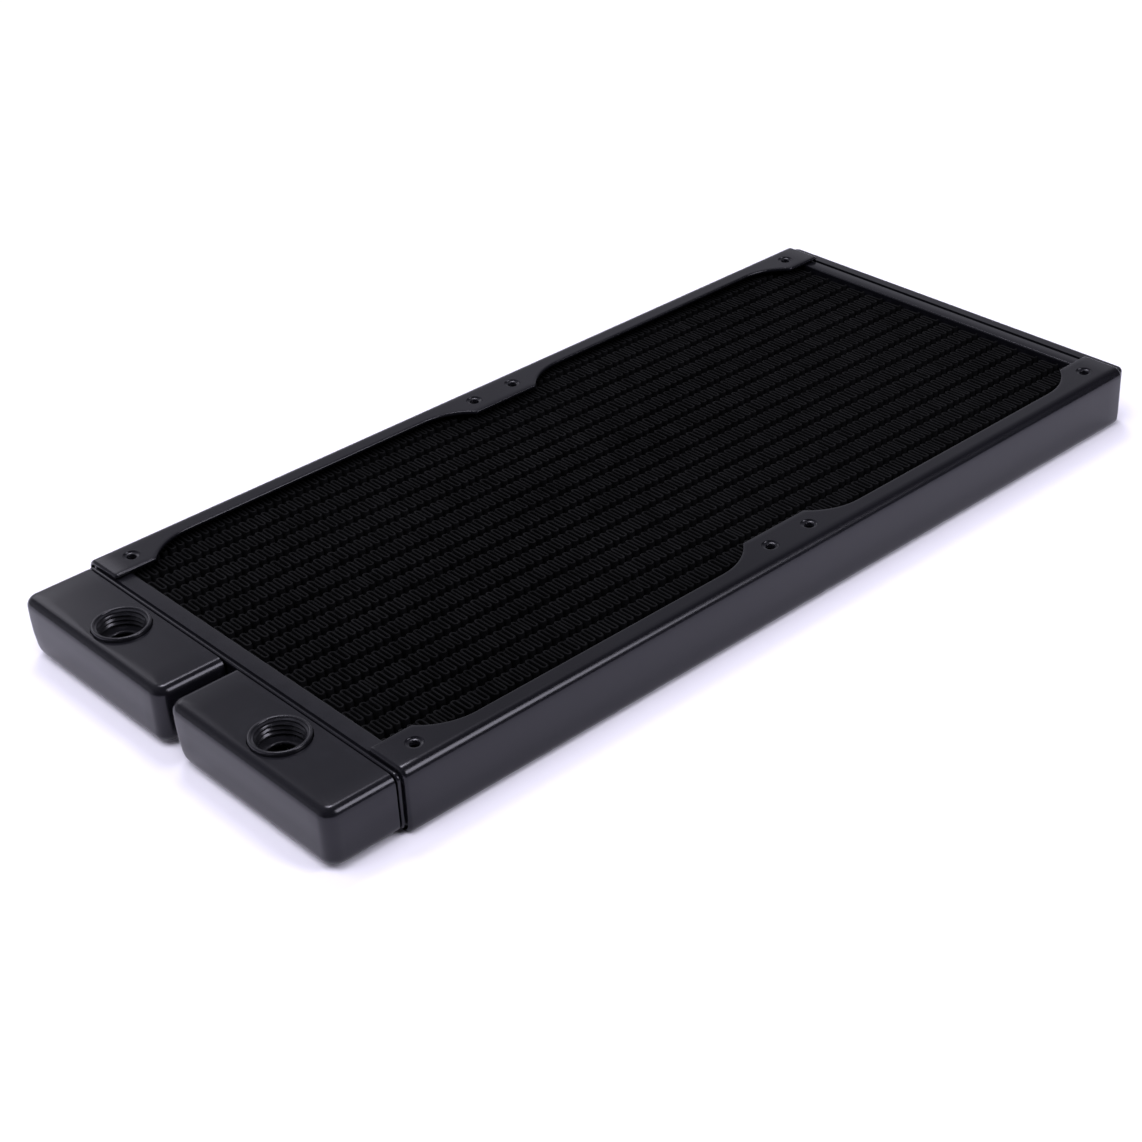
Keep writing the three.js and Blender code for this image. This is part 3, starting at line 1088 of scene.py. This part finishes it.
@dataclass
class PortBush:
    """A threaded bush: a sleeve with a rounded lip, a screw thread and a holed floor."""

    node: str
    lip: float = 0.4 * MM
    land: float = 0.3 * MM
    mouth_radius: float = 7.05 * MM
    thread_radius: float = 6.55 * MM
    thread_depth: float = 0.5 * MM
    thread_pitch: float = 1.337 * MM
    floor: float = 0.8 * MM
    floor_hole: float = 3.9 * MM
    floor_lip: float = 0.4 * MM
    bevel: float = 0.3 * MM
    bore_stop: float = 0.2 * MM
    thread_flat: float = 0.15
    lip_steps: int = 5
    fade_steps: int = 5
    steps_round: int = 96
    steps_per_pitch: int = 8

    def build(self) -> bpy.types.Object:
        """Turns the bush's section round its axis, with the thread as a climbing wave.

        The section is a closed loop: up the outside, round the lip, down the bore, across the
        floor, round the lip of the floor's hole and under the foot. In the bore the radius
        falls by the thread's depth times a rounded triangle wave of height over pitch less the
        angle over a turn, and the wave fades in at both ends.

        Returns:
            The bush's object.
        """
        low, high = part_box(self.node)
        x, y = (low.x + high.x) / 2, (low.y + high.y) / 2
        outside = (high.y - low.y) / 2
        foot, top = low.z, high.z
        ease = quarter(self.lip_steps)
        lip_out = outside - self.lip
        lip_in = self.mouth_radius + self.lip
        floor = foot + self.floor
        bore_top = top - self.lip - self.land
        turns = int(round((bore_top - floor) / self.thread_pitch * self.steps_per_pitch))
        bore = np.linspace(bore_top, floor + self.bore_stop, turns)
        radii = [
            np.array([outside - self.bevel, outside, outside]),
            lip_out + self.lip * np.cos(ease),
            lip_in - self.lip * np.sin(ease),
            np.full(len(bore), self.thread_radius),
            np.array([self.thread_radius - self.bevel]),
            self.floor_hole + self.floor_lip - self.floor_lip * np.sin(ease),
            np.array([self.floor_hole, self.floor_hole + self.bevel]),
        ]
        heights = [
            np.array([foot, foot + self.bevel, floor]),
            top - self.lip + self.lip * np.sin(ease),
            top - self.lip + self.lip * np.cos(ease),
            bore,
            np.array([floor]),
            floor - self.floor_lip + self.floor_lip * np.cos(ease),
            np.array([foot + self.bevel, foot]),
        ]
        radius = np.concatenate(radii)[:, None]
        z = np.concatenate(heights)[:, None]
        angle = np.linspace(0.0, FULL_TURN, self.steps_round, endpoint=False)
        inside = sum(len(part) for part in radii[:3])
        fade = np.zeros((len(radius), 1))
        ends = np.minimum(np.arange(len(bore)), np.arange(len(bore))[::-1])
        fade[inside : inside + len(bore), 0] = np.clip(ends / self.fade_steps, 0.0, 1.0)
        wave = np.abs(2 * ((z / self.thread_pitch - angle / FULL_TURN) % 1.0) - 1)
        wave = np.clip((1 + 2 * self.thread_flat) * wave - self.thread_flat, 0.0, 1.0)
        radius = radius - fade * self.thread_depth * wave
        z = np.broadcast_to(z, radius.shape)
        grid = [x + radius * np.cos(angle), y + radius * np.sin(angle), z]
        skin = Skin()
        skin.add(np.stack(grid, axis=-1), around=True, closed=True)
        return skin.piece(f"{self.node}_turned")


@dataclass
class Tanks:
    """The inlet, outlet and return tanks with their two port bushes."""

    RETURN_SIZES = {"corner": 2.5 * MM, "foot_corner": 2.5 * MM, "edge": 1.2 * MM}

    paint: bpy.types.Material
    bush_finish: bpy.types.Material

    def build(self) -> None:
        """Builds and dresses the tanks and the bushes."""
        for port in ("inlet", "outlet"):
            bush = PortBush(f"port_bush_{port}")
            low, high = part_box(bush.node)
            x, y = (low.x + high.x) / 2, (low.y + high.y) / 2
            tank = Tank(f"tank_{port}", End.PORTS, port_y=y, port_x=x)
            dress(tank.build(), self.paint, CASING_PAINT.slot, tank.node)
            dress(bush.build(), self.bush_finish, BUSH_FINISH.slot, bush.node)
        tank = Tank("tank_return", End.RETURN, **self.RETURN_SIZES)
        dress(tank.build(), self.paint, CASING_PAINT.slot, tank.node)


# ---------------------------------------------------------------- header plates


def tube_middles() -> np.ndarray:
    """Finds the middle Y of each flat tube from the CAD nodes.

    Returns:
        The middles, from -Y to +Y.
    """
    names = sorted(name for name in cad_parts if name.startswith("flat_tube_"))
    boxes = [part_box(name) for name in names]
    return np.array([(low.y + high.y) / 2 for low, high in boxes])


@dataclass
class HeaderPlate:
    """A cup-shaped tube plate: a slotted web with a rim that turns out round the tank.

    It is worked out with its rim towards -X. The return one is turned half round.
    """

    node: str
    end: End
    web: float = 1.3 * MM
    rim: float = 1.4 * MM
    corner: float = 2.0 * MM
    edge: float = 0.45 * MM
    lip: float = 0.75 * MM
    groove: float = 0.95 * MM
    groove_depth: float = 0.8 * MM
    slot_half_thickness: float = 0.95 * MM
    slot_half_depth: float = 5.8 * MM
    block_half: float = 2.0 * MM
    block_half_depth: float = 7.15 * MM
    block_columns: int = 5
    web_rows: int = 9
    least_radius: float = 0.4 * MM
    corner_steps: int = 5
    edge_steps: int = 4
    groove_steps: int = 8
    groove_power: float = 0.9

    def __post_init__(self) -> None:
        """Takes the plate's box from its CAD node, turned so that its rim is towards -X."""
        low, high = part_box(self.node)
        self.front, self.back = low.x, high.x
        if self.end is End.RETURN:
            self.front, self.back = -high.x, -low.x
        self.half_width = high.y
        self.z0, self.z1 = low.z, high.z

    def loop(self, half_width: float, z0: float, z1: float, radius: float) -> np.ndarray:
        """Works out a rounded rectangle in the YZ plane, with points at the web's stations.

        Args:
            half_width: Half its width along Y.
            z0: Its lowest height.
            z1: Its highest height.
            radius: Its corner radius. At 0 each corner's points coincide.

        Returns:
            Points of shape (count, 2), going once round.
        """
        part_y = self.web_y() / (self.half_width - self.rim)
        part_z = self.web_z() / self.block_half_depth
        middle, half = (z0 + z1) / 2, (z1 - z0) / 2
        straight_y = part_y * (half_width - radius)
        straight_z = middle + part_z * (half - radius)
        arc = quarter(self.corner_steps)
        corner_y, corner_z = half_width - radius, half - radius
        y = [
            straight_y,
            corner_y + radius * np.sin(arc),
            np.full(len(straight_z), half_width),
            corner_y + radius * np.cos(arc),
            straight_y[::-1],
            -corner_y - radius * np.sin(arc),
            np.full(len(straight_z), -half_width),
            -corner_y - radius * np.cos(arc),
        ]
        z = [
            np.full(len(straight_y), z0),
            middle - corner_z - radius * np.cos(arc),
            straight_z,
            middle + corner_z + radius * np.sin(arc),
            np.full(len(straight_y), z1),
            middle + corner_z + radius * np.cos(arc),
            straight_z[::-1],
            middle - corner_z - radius * np.sin(arc),
        ]
        return np.stack([np.concatenate(y), np.concatenate(z)], axis=1)

    def web_y(self) -> np.ndarray:
        """Works out the web's columns: a few across each slot, and both ends.

        Returns:
            Their positions along Y.
        """
        across = np.linspace(-self.block_half, self.block_half, self.block_columns)
        columns = (tube_middles()[:, None] + across).ravel()
        edge = self.half_width - self.rim
        return np.concatenate([[-edge], columns, [edge]])

    def web_z(self) -> np.ndarray:
        """Heights of the web's rows about its middle."""
        return np.linspace(-self.block_half_depth, self.block_half_depth, self.web_rows)

    def band_section(self) -> tuple[np.ndarray, np.ndarray]:
        """Works out the rim's section as places along X and insets from its outer face.

        It runs from the web along the rim's inside, round the lip, over the outer band with its
        groove and round the back edge. The groove's depth goes as the sine of the way across it
        to a power. The return plate has no groove.

        Returns:
            The places and the insets.
        """
        angle, e = quarter(self.edge_steps), self.edge
        tip = self.front + e
        x = [[tip + self.web, tip], tip - e * np.cos(angle[::-1]), tip - e * np.cos(angle)]
        inset = [[self.rim] * 2, self.rim - e + e * np.sin(angle[::-1]), e - e * np.sin(angle)]
        if self.end is End.PORTS:
            part = np.linspace(0.0, 1.0, self.groove_steps + 1)
            x.append(self.front + self.lip + self.groove * part)
            # The clip keeps the sine's rounding error at the far end from falling below 0.
            depth = np.clip(np.sin(math.pi * part), 0.0, 1.0) ** self.groove_power
            inset.append(self.groove_depth * depth)
        x.append(self.back - e + e * np.sin(angle))
        inset.append(e - e * np.cos(angle))
        return np.concatenate(x), np.concatenate(inset)

    def build(self) -> bpy.types.Object:
        """Makes the slotted web's two faces and joins them round the rim and through the slots.

        A slot's wall is a stack of rings. Each ring's point is the nearest point of the slot's
        middle line plus the slot's half thickness towards the block's own rim.

        Returns:
            The plate's object.
        """
        skin = Skin()
        y, z = self.web_y(), self.web_z()
        middle = (self.z0 + self.z1) / 2
        faces = [self.back - self.web, self.back]
        sheets = []
        for x in faces:
            grid_y, grid_z = np.meshgrid(y, middle + z, indexing="ij")
            sheets.append(np.stack([np.full(grid_y.shape, x), grid_y, grid_z], axis=-1))
        cells = np.ones((len(y) - 1, len(z) - 1), bool)
        for number, tube in enumerate(tube_middles()):
            first = 1 + self.block_columns * number
            rows = slice(first, first + self.block_columns)
            cells[rows.start : rows.stop - 1] = False
            rims = [block_rim(sheet, rows, slice(0, len(z))) for sheet in sheets]
            spine = np.clip(
                rims[0][:, 2] - middle,
                self.slot_half_thickness - self.slot_half_depth,
                self.slot_half_depth - self.slot_half_thickness,
            )
            out = np.stack([rims[0][:, 1] - tube, rims[0][:, 2] - middle - spine], axis=1)
            out /= np.linalg.norm(out, axis=1, keepdims=True)
            slot = np.array([tube, middle]) + self.slot_half_thickness * out
            slot[:, 1] += spine
            rings = [np.insert(slot, 0, x, axis=1) for x in faces]
            skin.add(np.stack([rims[0], *rings, rims[1]]), around=True)
        for sheet in sheets:
            skin.add(sheet, cells=cells)
        web_half = self.half_width - self.rim
        depth = self.block_half_depth
        web_loop = self.loop(web_half, middle - depth, middle + depth, 0.0)
        rows = [np.insert(web_loop, 0, faces[0], axis=1)]
        for x, inset in zip(*self.band_section()):
            radius = max(self.corner - inset, self.least_radius)
            ring = self.loop(self.half_width - inset, self.z0 + inset, self.z1 - inset, radius)
            rows.append(np.insert(ring, 0, x, axis=1))
        rows.append(np.insert(web_loop, 0, faces[1], axis=1))
        skin.add(np.stack(rows), around=True)
        return skin.piece(f"{self.node}_cup", 0.0 if self.end is End.RETURN else None)


@dataclass
class FlowDivider:
    """The wall between the two port tanks, at the end of the slot between them."""

    half_width: float = 3.4 * MM
    thickness: float = 1.4 * MM
    stand_in: float = 0.5 * MM
    stand_off: float = 1.4 * MM
    edge: float = 0.4 * MM
    squareness: float = 0.2
    edge_steps: int = 3
    steps_round: int = 48

    def build(self) -> bpy.types.Object:
        """Makes a slab with eased edges.

        It is a rounded rectangle in the YZ plane carried along X while it draws in along a
        quarter arc at both faces, each of which closes on its middle.

        Returns:
            The wall's object.
        """
        low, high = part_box("header_plate_ports")
        front = low.x + self.stand_in
        ease = quarter(self.edge_steps)
        drawn = self.edge * (1 - np.sin(ease))
        into = np.concatenate([[0.0], self.edge * (1 - np.cos(ease))])
        x = np.concatenate([front + into, (front + self.thickness - into)[::-1]])
        inset = np.concatenate([[self.half_width], drawn, drawn[::-1], [self.half_width]])
        angle = np.linspace(0.0, FULL_TURN, self.steps_round, endpoint=False)
        round_y, round_z = (
            np.sign(wave) * np.abs(wave) ** self.squareness
            for wave in (np.cos(angle), np.sin(angle))
        )
        middle = (low.z + high.z) / 2
        half = (high.z - low.z) / 2 - self.stand_off
        y = (self.half_width - inset)[:, None] * round_y
        tall = np.where(inset < self.half_width, half - inset, 0.0)
        z = middle + tall[:, None] * round_z
        skin = Skin()
        skin.add(np.stack([np.broadcast_to(x[:, None], y.shape), y, z], axis=-1), around=True)
        return skin.piece("flow_divider")


@dataclass
class Headers:
    """Both header plates and the wall between the port tanks."""

    paint: bpy.types.Material

    def build(self) -> None:
        """Builds and dresses the plates and the wall."""
        for end in End:
            plate = HeaderPlate(f"header_plate_{end.name.lower()}", end)
            dress(plate.build(), self.paint, CASING_PAINT.slot, plate.node)
        dress(FlowDivider().build(), self.paint, CASING_PAINT.slot)


# ---------------------------------------------------------------- core


@dataclass
class FlatTube:
    """A flat water tube, open at both ends."""

    node: str
    wall: float = 0.4 * MM
    steps_round: int = 32

    def build(self) -> bpy.types.Object:
        """Carries a stadium along X and back inside itself, one wall smaller.

        Returns:
            The tube's object.
        """
        low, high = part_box(self.node)
        y, z = (low.y + high.y) / 2, (low.z + high.z) / 2
        thick, deep = (high.y - low.y) / 2, (high.z - low.z) / 2
        angle = np.linspace(0.0, FULL_TURN, self.steps_round, endpoint=False)
        angle += math.pi / self.steps_round
        spine = z + np.where(np.sin(angle) > 0, deep - thick, thick - deep)
        rows = []
        for x, inset in ((low.x, 0.0), (high.x, 0.0), (high.x, self.wall), (low.x, self.wall)):
            radius = thick - inset
            ring = [y + radius * np.cos(angle), spine + radius * np.sin(angle)]
            rows.append(np.stack([np.full(len(angle), x), *ring], axis=1))
        skin = Skin()
        skin.add(np.stack(rows), around=True, closed=True)
        return skin.piece(f"{self.node}_drawn")


@dataclass
class FinStrip:
    """A folded fin strip that fills the space between two tubes."""

    node: str
    number: int
    fold_pitch: float = 2.75 * MM
    sheet: float = 0.72 * MM
    solder_reach: float = 0.28 * MM
    bead_steps: int = 4
    leg_steps: int = 3
    crest_steps: int = 5
    unevenness: float = 0.16 * MM
    lean: float = 0.3 * MM
    jitter: float = 0.14 * MM
    jitter_lean: float = 0.35 * MM
    waves: int = 6
    wave_rates: tuple[float, float] = (0.02, 0.35)
    wave_height: float = 1.8
    fade_folds: int = 3
    first_seed: int = 1000

    def path(self, low: Vector, high: Vector) -> tuple[np.ndarray, np.ndarray]:
        """Works out the folded path: straight legs across the row joined by half-round crests.

        Half fold number k has its leg at k times half the pitch. Its crest is a half circle of
        a quarter of the pitch, on the far side for even k and the near side for odd k.

        Args:
            low: Lowest corner of the strip's box.
            high: Highest corner of the strip's box.

        Returns:
            Points of shape (count, 2), and how many folds along each of them is.
        """
        folds = round((high.x - low.x - self.sheet) / self.fold_pitch)
        pitch = (high.x - low.x - self.sheet) / folds
        crest = pitch / 4
        straight = (high.y - low.y - self.sheet) / 2 - crest
        number = np.arange(2 * folds)[:, None]
        side = 1.0 - 2.0 * (number % 2)
        leg = np.linspace(-straight, straight, self.leg_steps + 1)[None, :-1]
        turn = np.linspace(0.0, math.pi, self.crest_steps + 1)[None, :-1]
        x = np.concatenate([0 * leg + 0 * number, crest * (1 - np.cos(turn)) + 0 * number], axis=1)
        y = np.concatenate([side * leg, side * (straight + crest * np.sin(turn))], axis=1)
        x = (low.x + self.sheet / 2 + number * pitch / 2 + x).ravel()
        y = ((low.y + high.y) / 2 + y).ravel()
        return np.stack([x, y], axis=1), (x - x[0]) / pitch

    def build(self) -> bpy.types.Object:
        """Carries an upright ribbon's section along the folded path.

        A few slow seeded waves and a seeded amount at each fold shift and lean the folds a
        little, as hand-loaded strips do, and both fade out at the strip's ends. Half of the
        waves shift and half lean. The section is a thin rectangle with a rounded top and
        bottom. The crests reach past the node's box through the solder gap to the tubes on
        both sides.

        Returns:
            The strip's object.
        """
        low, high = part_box(self.node)
        low.y -= self.solder_reach
        high.y += self.solder_reach
        path, turn = self.path(low, high)
        rng = np.random.default_rng(self.first_seed + self.number)
        phase = rng.uniform(0, FULL_TURN, self.waves)
        rate = rng.uniform(*self.wave_rates, self.waves)
        drift = np.sin(FULL_TURN * turn[:, None] * rate + phase) / self.wave_height
        half = self.waves // 2
        ends = np.clip(np.minimum(turn, turn[-1] - turn) / self.fade_folds, 0.0, 1.0)
        folds = np.arange(round(turn[-1]) + 1)
        own = [np.interp(turn, folds, rng.uniform(-1, 1, len(folds))) for _ in range(2)]
        shift = self.unevenness * drift[:, :half].sum(axis=1) + self.jitter * own[0]
        lean = self.lean * drift[:, half:].sum(axis=1) + self.jitter_lean * own[1]
        path[:, 0] += ends * shift
        lean *= ends
        forward = np.gradient(path, axis=0)
        forward /= np.linalg.norm(forward, axis=1, keepdims=True)
        normal = np.stack([-forward[:, 1], forward[:, 0]], axis=1)
        half = self.sheet / 2
        bead = np.linspace(0.0, math.pi, self.bead_steps + 1)
        section = np.concatenate(
            [
                np.stack([half * np.cos(bead), high.z - half + half * np.sin(bead)], axis=1),
                np.stack([-half * np.cos(bead), low.z + half - half * np.sin(bead)], axis=1),
            ]
        )
        off, z = section[:, 0], section[:, 1]
        flat = path[:, None] + off[None, :, None] * normal[:, None]
        height = (z - low.z) / (high.z - low.z) - 0.5
        x = np.clip(flat[..., 0] + lean[:, None] * height, low.x, high.x)
        y = np.clip(flat[..., 1], low.y, high.y)
        grid = np.stack([x, y, np.broadcast_to(z, x.shape)], axis=-1)
        skin = Skin()
        skin.add(grid, around=True)
        for end in (0, -1):
            loop = grid[end]
            skin.add(np.stack([loop[: len(bead)], loop[: len(bead) - 1 : -1]]))
        return skin.piece(f"{self.node}_folded")


@dataclass
class Core:
    """The flat tubes and the fin strips between them."""

    tube_paint: bpy.types.Material
    fin_paint: bpy.types.Material

    def build(self) -> None:
        """Builds and dresses every tube and every strip."""
        for node in sorted(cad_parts):
            if node.startswith("flat_tube_"):
                dress(FlatTube(node).build(), self.tube_paint, TUBE_PAINT.slot, node)
            elif node.startswith("fin_strip_"):
                strip = FinStrip(node, int(node.rsplit("_", 1)[1]))
                dress(strip.build(), self.fin_paint, FIN_PAINT.slot, node)


# ---------------------------------------------------------------- studio


@dataclass(frozen=True)
class Softbox:
    """A rectangular area light that looks at a point, with or without a mirror image."""

    name: str
    place: Triple
    aim: Triple
    width: float
    height: float
    power: float
    mirrored: bool = True
    colour: Triple = (0.94, 0.92, 1.0)

    def build(self) -> None:
        """Adds the light to the scene."""
        light = bpy.data.lights.new(self.name, "AREA")
        light.shape = "RECTANGLE"
        light.size, light.size_y = self.width, self.height
        light.energy = self.power
        light.color = self.colour
        made = bpy.data.objects.new(self.name, light)
        made.visible_glossy = self.mirrored
        made.location = self.place
        away = Vector(self.aim) - Vector(self.place)
        made.rotation_euler = away.to_track_quat("-Z", "Y").to_euler()
        bpy.context.scene.collection.objects.link(made)


@dataclass
class Studio:
    """The floor, the lights, the surroundings and the camera."""

    floor_half: float = 6.0
    floor_points: int = 13
    floor_drop: float = 0.02 * MM
    floor_darkest: float = 0.985
    floor_lumps: float = 3.0
    floor_lump_range: tuple[float, float] = (0.3, 0.7)
    floor_roughness: float = 0.9
    floor_specular: float = 0.1
    floor_colour: Triple = (0.83, 0.82, 0.9)
    sky_colour: Triple = (0.9, 0.89, 1.0)
    sky_strength: float = 0.3
    sky_front: float = 0.12
    sky_low: float = 1.9
    sky_back_range: tuple[float, float] = (-0.15, 0.35)
    sky_low_range: tuple[float, float] = (0.52, 0.36)
    camera_place: Triple = (-0.372573, -0.412777, 0.333749)
    camera_aim: Triple = (-0.044552, -0.032577, 0.0195)
    camera_roll: float = math.radians(-3.112)
    camera_lens: float = 69.53
    camera_sensor: float = 36.0
    camera_clip: tuple[float, float] = (0.01, 50.0)

    def build(self) -> None:
        """Sets the whole studio up."""
        self.lay_floor()
        self.light()
        self.place_camera()

    def lay_floor(self) -> None:
        """Lays a wide matt floor with a faint unevenness of shade, just under the object."""
        across = np.linspace(-self.floor_half, self.floor_half, self.floor_points)
        x, y = np.meshgrid(across, across, indexing="xy")
        skin = Skin()
        skin.add(np.stack([x, y, np.full(x.shape, -self.floor_drop)], axis=-1))
        floor = skin.piece("studio_floor")
        made = bpy.data.materials.new("studio_floor")
        made.use_nodes = True
        web = Web(made.node_tree)
        shader = made.node_tree.nodes["Principled BSDF"]
        where = web.node("ShaderNodeTexCoord").outputs["Object"]
        shade = web.between(web.noise(where, self.floor_lumps, 2.0), *self.floor_lump_range)
        darker = tuple(self.floor_darkest * part for part in self.floor_colour)
        colour = web.mix(shade, (*darker, 1.0), (*self.floor_colour, 1.0))
        web.feed(shader.inputs["Base Color"], colour)
        shader.inputs["Roughness"].default_value = self.floor_roughness
        shader.inputs["Specular IOR Level"].default_value = self.floor_specular
        floor.data.materials.append(made)

    def light(self) -> None:
        """Sets the sky and the softboxes."""
        self.hang_sky()
        middle, left = (0.0, 0.0, 0.0), (-0.1, 0.0, 0.0)
        boxes = (
            Softbox("overhead_softbox", (-0.6, -0.2, 1.5), middle, 1.1, 1.1, 23.0, False),
            Softbox("front_right_softbox", (0.66, -1.24, 1.17), middle, 0.75, 0.8, 17.0),
            Softbox("far_softbox", (1.0, 1.6, 3.6), (1.0, 1.8, 0.0), 1.0, 1.0, 60.0),
            Softbox("back_left_softbox", (-1.0, 1.3, 1.07), left, 1.0, 0.8, 8.0, False),
            Softbox("back_softbox", (0.18, 1.57, 1.0), (-0.15, 0.0, 0.0), 0.7, 0.5, 2.0),
            Softbox("left_softbox", (-1.4, 0.8, 0.5), left, 0.5, 0.5, 2.0, False),
        )
        for box in boxes:
            box.build()

    def hang_sky(self) -> None:
        """Sets a sky that is brighter behind the object and near the horizon there.

        Its strength is the plain one, times a share that rises from the front to the back, times
        a factor that rises as the direction's height falls.
        """
        world = bpy.data.worlds.new("studio_sky")
        world.use_nodes = True
        web = Web(world.node_tree)
        direction = web.node("ShaderNodeTexCoord").outputs["Generated"]
        parts = web.node("ShaderNodeSeparateXYZ")
        web.feed(parts.inputs["Vector"], direction)
        behind = web.between(parts.outputs["Y"], *self.sky_back_range, self.sky_front, 1.0)
        low = web.between(parts.outputs["Z"], *self.sky_low_range, 1.0, self.sky_low)
        share = web.maths("MULTIPLY", behind, low)
        sky = world.node_tree.nodes["Background"]
        sky.inputs["Color"].default_value = (*self.sky_colour, 1.0)
        web.feed(sky.inputs["Strength"], web.maths("MULTIPLY", share, self.sky_strength))
        bpy.context.scene.world = world

    def place_camera(self) -> None:
        """Aims the camera, rolls it a little and keeps the view's colours plain."""
        data = bpy.data.cameras.new("camera")
        data.lens = self.camera_lens
        data.sensor_width = self.camera_sensor
        data.clip_start, data.clip_end = self.camera_clip
        camera = bpy.data.objects.new("camera", data)
        place = Vector(self.camera_place)
        camera.location = place
        aim = (Vector(self.camera_aim) - place).to_track_quat("-Z", "Y")
        camera.rotation_mode = "QUATERNION"
        camera.rotation_quaternion = aim @ Quaternion((0.0, 0.0, 1.0), self.camera_roll)
        bpy.context.scene.collection.objects.link(camera)
        bpy.context.scene.camera = camera
        bpy.context.scene.view_settings.view_transform = "Standard"


def corners(box: tuple[Vector, Vector]) -> list[list[float]]:
    """A box's two corners as plain lists."""
    return [list(corner) for corner in box]


def main() -> None:
    logging.basicConfig(level=logging.INFO, format="%(name)s %(message)s")
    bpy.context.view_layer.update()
    effects = Effects(PaintSkin(), EdgeWear(), SettledDust())
    casing, bush, tube, fin = (
        finish.material(effects) for finish in (CASING_PAINT, BUSH_FINISH, TUBE_PAINT, FIN_PAINT)
    )
    for assembly in (
        Studio(),
        Casing(casing),
        Headers(casing),
        Tanks(casing, bush),
        Core(tube, fin),
    ):
        assembly.build()
        log.info("%s is in place", type(assembly).__name__)
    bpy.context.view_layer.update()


if __name__ == "__main__":
    main()
